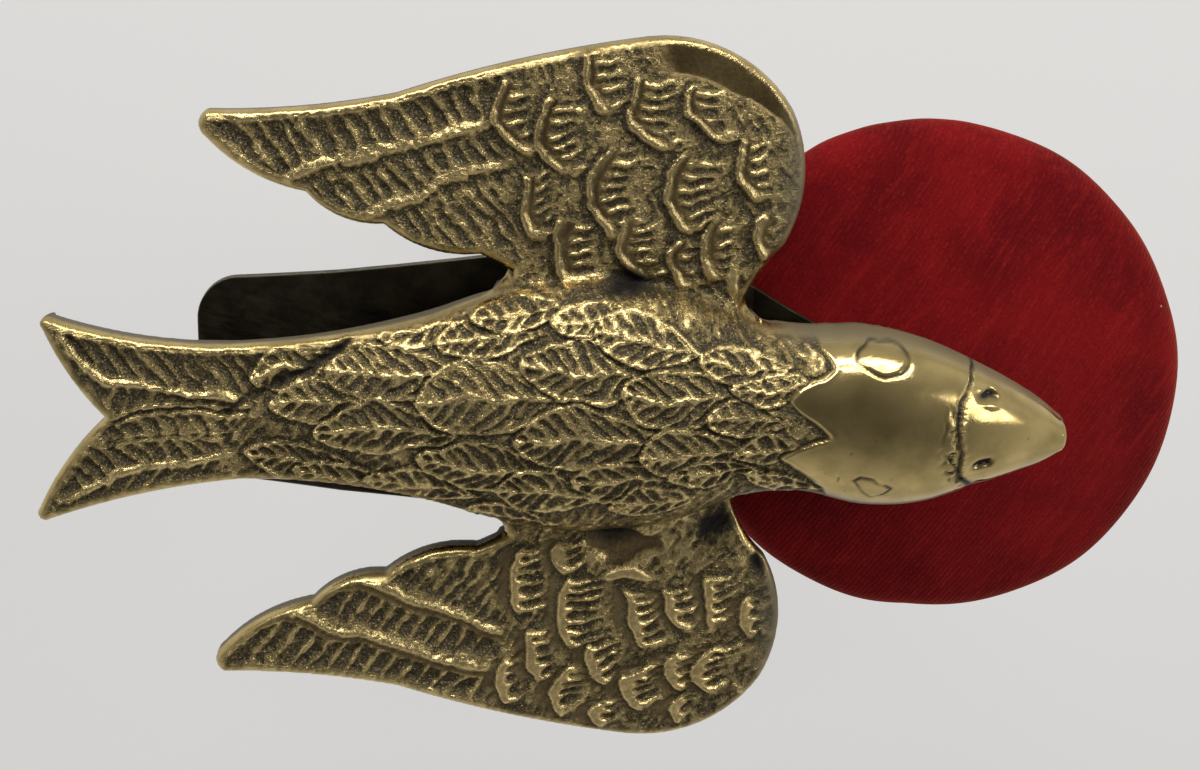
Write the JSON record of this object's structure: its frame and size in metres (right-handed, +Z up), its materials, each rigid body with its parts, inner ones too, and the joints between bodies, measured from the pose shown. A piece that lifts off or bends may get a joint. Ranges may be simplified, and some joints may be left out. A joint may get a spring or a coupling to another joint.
{
  "type": "sewing bird",
  "caption": "Spread-winged brass bird with a sprung beak that grips cloth, on a table clamp with a round velvet pincushion in front.",
  "frame": {"origin": "centre of the flat clamp face that rests on the table top", "axes": "+X towards the beak and away from the table, +Y to the bird's left, +Z up"},
  "size_m": [0.1177, 0.0718, 0.1296],
  "materials": {
    "cast_brass": "worn, dark in the recesses",
    "sheet_brass": "oxidised nearly black",
    "turned_brass": "satin",
    "steel": "dull",
    "velvet": "short pile",
    "bran": "loose bran in cotton",
    "card": "pasteboard"
  },
  "bodies": {
    "frame": {"clamp_frame": "cast_brass", "pedestal": "turned_brass", "pedestal_screw": "steel", "cushion_arm": "turned_brass", "arm_screw": "steel", "cup_stem": "turned_brass", "cushion_cup": "turned_brass", "cup_screw": "turned_brass", "cup_nut": "turned_brass", "cushion_card": "card", "cushion_stuffing": "bran", "cushion_velvet": "velvet", "jaw_plate": "sheet_brass", "hinge_bracket": "sheet_brass", "hinge_pin": "steel", "bracket_rivets": "turned_brass", "spring_post": "turned_brass", "tail_spring": "steel"},
    "bird": {"bird_casting": "cast_brass"},
    "pad": {"clamp_pad": "turned_brass", "pad_retainer": "turned_brass"},
    "screw": {"clamp_screw": "turned_brass", "thumb_wing": "cast_brass", "thumb_pin": "steel"}
  },
  "joints": [
    {"name": "beak_open", "type": "hinge", "parent": "frame", "child": "bird", "pos_m": [-0.004, 0, 0.0288], "axis": [0, -1, 0], "range_deg": [0, 12], "stiffness_Nm_per_rad": 0.64, "springref_deg": -11.46, "deforming": ["tail_spring"]},
    {"name": "pad_feed", "type": "slide", "parent": "frame", "child": "pad", "axis": [0, 0, 1], "range_m": [-0.01, 0.018]},
    {"name": "screw_turn", "type": "hinge", "parent": "pad", "child": "screw", "pos_m": [0, 0, 0], "axis": [0, 0, 1], "range_deg": [-1800, 3240]}
  ],
  "couplings": [
    {"joint": "screw_turn", "follows": "pad_feed", "rad_per_m": 3141.6}
  ]
}
